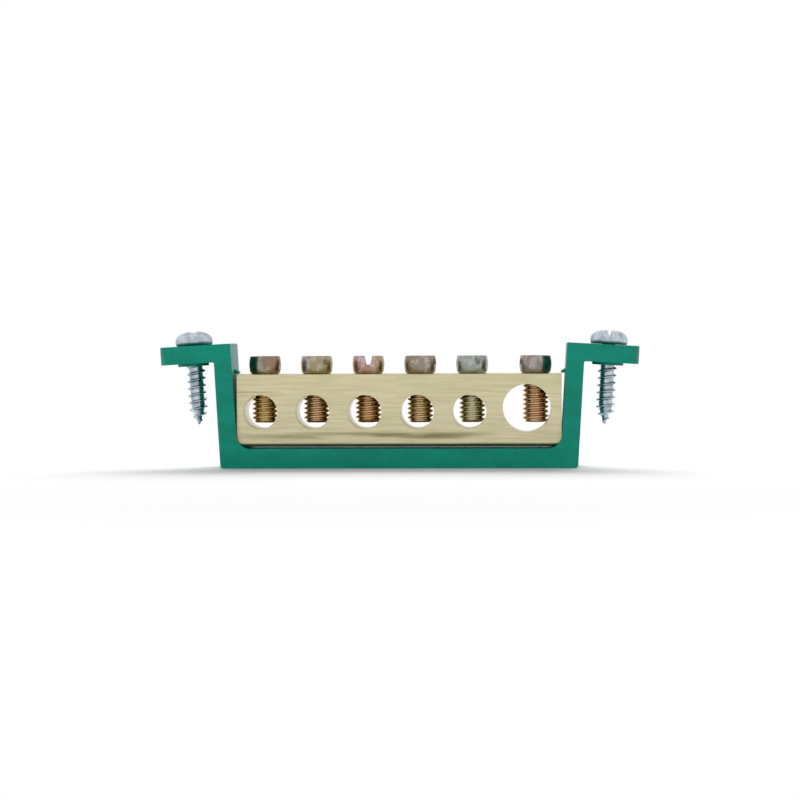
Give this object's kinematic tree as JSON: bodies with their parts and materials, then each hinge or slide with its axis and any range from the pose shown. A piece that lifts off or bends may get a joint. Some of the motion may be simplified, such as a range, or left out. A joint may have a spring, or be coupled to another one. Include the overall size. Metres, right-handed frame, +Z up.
{
  "type": "earth terminal bar",
  "caption": "Brass terminal bar with cross-drilled wire holes, each under its own clamping screw, in a green plastic cradle with two screw-fixing ears.",
  "frame": {"origin": "middle of the cradle's flat underside", "axes": "+X along the bar towards the large wire hole, +Y from the front to the back along the wire holes, +Z up along the clamping screws"},
  "size_m": [0.0734, 0.01, 0.021],
  "materials": {
    "cradle_plastic": "satin moulded plastic",
    "bar_brass": "drawn and drilled, unpolished",
    "yellow_zinc": "yellow passivated zinc plating",
    "clear_zinc": "clear passivated zinc plating"
  },
  "bodies": {
    "bar_and_cradle": {"cradle": "cradle_plastic", "brass_bar": "bar_brass", "mounting_screw_left": "clear_zinc", "mounting_screw_right": "clear_zinc"},
    "clamp_screw_1": {"terminal_screw_1": "yellow_zinc"},
    "clamp_screw_2": {"terminal_screw_2": "yellow_zinc"},
    "clamp_screw_3": {"terminal_screw_3": "yellow_zinc"},
    "clamp_screw_4": {"terminal_screw_4": "yellow_zinc"},
    "clamp_screw_5": {"terminal_screw_5": "yellow_zinc"},
    "clamp_screw_6": {"terminal_screw_6": "yellow_zinc"}
  },
  "joints": [
    {"name": "clamp_travel_1", "type": "slide", "parent": "bar_and_cradle", "child": "clamp_screw_1", "axis": [0, 0, 1], "range_m": [0, 0.0044]},
    {"name": "clamp_travel_2", "type": "slide", "parent": "bar_and_cradle", "child": "clamp_screw_2", "axis": [0, 0, 1], "range_m": [0, 0.0044]},
    {"name": "clamp_travel_3", "type": "slide", "parent": "bar_and_cradle", "child": "clamp_screw_3", "axis": [0, 0, 1], "range_m": [0, 0.0044]},
    {"name": "clamp_travel_4", "type": "slide", "parent": "bar_and_cradle", "child": "clamp_screw_4", "axis": [0, 0, 1], "range_m": [0, 0.0044]},
    {"name": "clamp_travel_5", "type": "slide", "parent": "bar_and_cradle", "child": "clamp_screw_5", "axis": [0, 0, 1], "range_m": [0, 0.0044]},
    {"name": "clamp_travel_6", "type": "slide", "parent": "bar_and_cradle", "child": "clamp_screw_6", "axis": [0, 0, 1], "range_m": [0, 0.006]}
  ]
}
